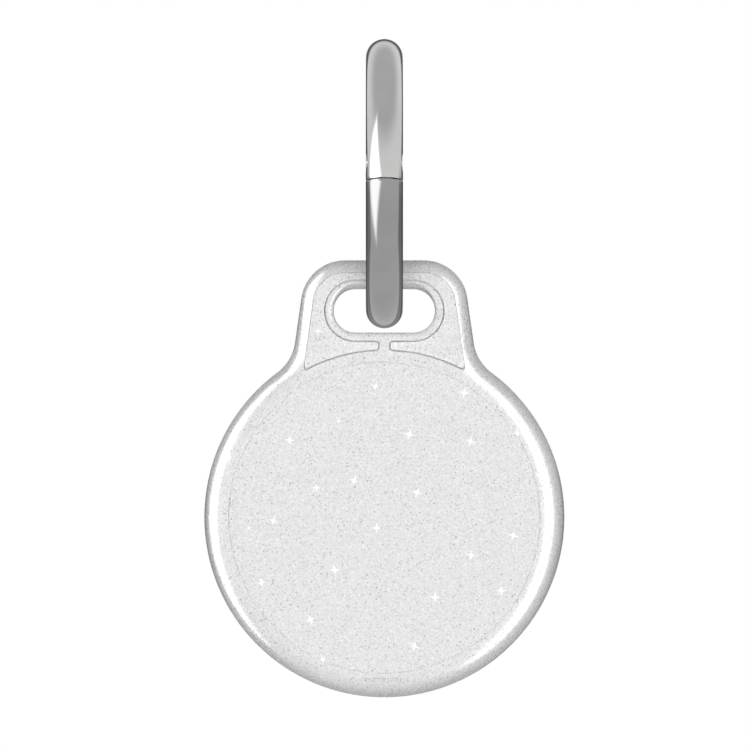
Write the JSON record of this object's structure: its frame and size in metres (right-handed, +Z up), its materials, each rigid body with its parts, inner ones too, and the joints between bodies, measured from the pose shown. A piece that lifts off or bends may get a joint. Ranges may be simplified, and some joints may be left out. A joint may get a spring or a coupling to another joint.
{
  "type": "bluetooth tracker tag",
  "caption": "Round wireless tracker in a milky glitter plastic twist-lock case with a slotted tab, hanging from a polished spring-gate ring.",
  "frame": {"origin": "top of the ring's inner side, where the ring hangs from a strap, hook or key loop", "axes": "+Z up, from the case to the ring; the case's plain front face looks along -Y; X is the case's width and the ring's own axis"},
  "size_m": [0.042, 0.0338, 0.0768],
  "materials": {
    "chrome": "polished chrome plate",
    "spring_steel": "plain steel",
    "glitter_plastic": "milky satin plastic with silver glitter",
    "white_plastic": "gloss white",
    "chip_epoxy": "matte black epoxy",
    "frame_plastic": "dark grey nylon",
    "board_laminate": "green solder mask",
    "copper": "bare copper",
    "magnet_plate": "nickel plate",
    "rubber": "black silicone",
    "cover_steel": "polished stainless steel",
    "cell_steel": "plain nickel-plated steel",
    "lithium": "dull metal",
    "cathode": "pressed black powder",
    "separator": "thin felt"
  },
  "bodies": {
    "ring": {"ring_body": "chrome", "gate_pin": "spring_steel"},
    "gate": {"ring_gate": "chrome", "gate_spring": "spring_steel"},
    "case": {"front_shell": "glitter_plastic", "cap_seal": "rubber", "tracker_cover": "white_plastic", "tracker_frame": "frame_plastic", "antenna_loop": "copper", "logic_board": "board_laminate", "radio_chip": "chip_epoxy", "ranging_chip": "magnet_plate", "memory_chip": "chip_epoxy", "power_inductor": "chip_epoxy", "clock_crystal": "magnet_plate", "voice_coil": "copper", "speaker_magnet": "magnet_plate", "speaker_yoke": "cell_steel", "contact_negative": "copper", "contact_positive_right": "copper", "contact_positive_left": "copper", "battery_can": "cell_steel", "battery_gasket": "frame_plastic", "battery_lid": "cell_steel", "battery_anode": "lithium", "battery_separator": "separator", "battery_cathode": "cathode"},
    "rear_cap": {"rear_cap": "glitter_plastic"},
    "battery_cover": {"battery_cover": "cover_steel"}
  },
  "joints": [
    {"name": "gate_hinge", "type": "hinge", "parent": "ring", "child": "gate", "pos_m": [0, -0.01457, -0.01035], "axis": [-1, 0, 0], "range_deg": [0, 30], "stiffness_Nm_per_rad": 0.004, "springref_deg": -28.65, "deforming": ["gate_spring"]},
    {"name": "case_swing", "type": "hinge", "parent": "ring", "child": "case", "pos_m": [0, 0, -0.01258], "axis": [1, 0, 0], "range_deg": [-60, 60]},
    {"name": "cap_twist", "type": "hinge", "parent": "case", "child": "rear_cap", "pos_m": [0, 0, -0.05151], "axis": [0, -1, 0], "range_deg": [0, 60]},
    {"name": "cover_twist", "type": "hinge", "parent": "case", "child": "battery_cover", "pos_m": [0, 0, -0.05151], "axis": [0, -1, 0], "range_deg": [0, 18]}
  ]
}
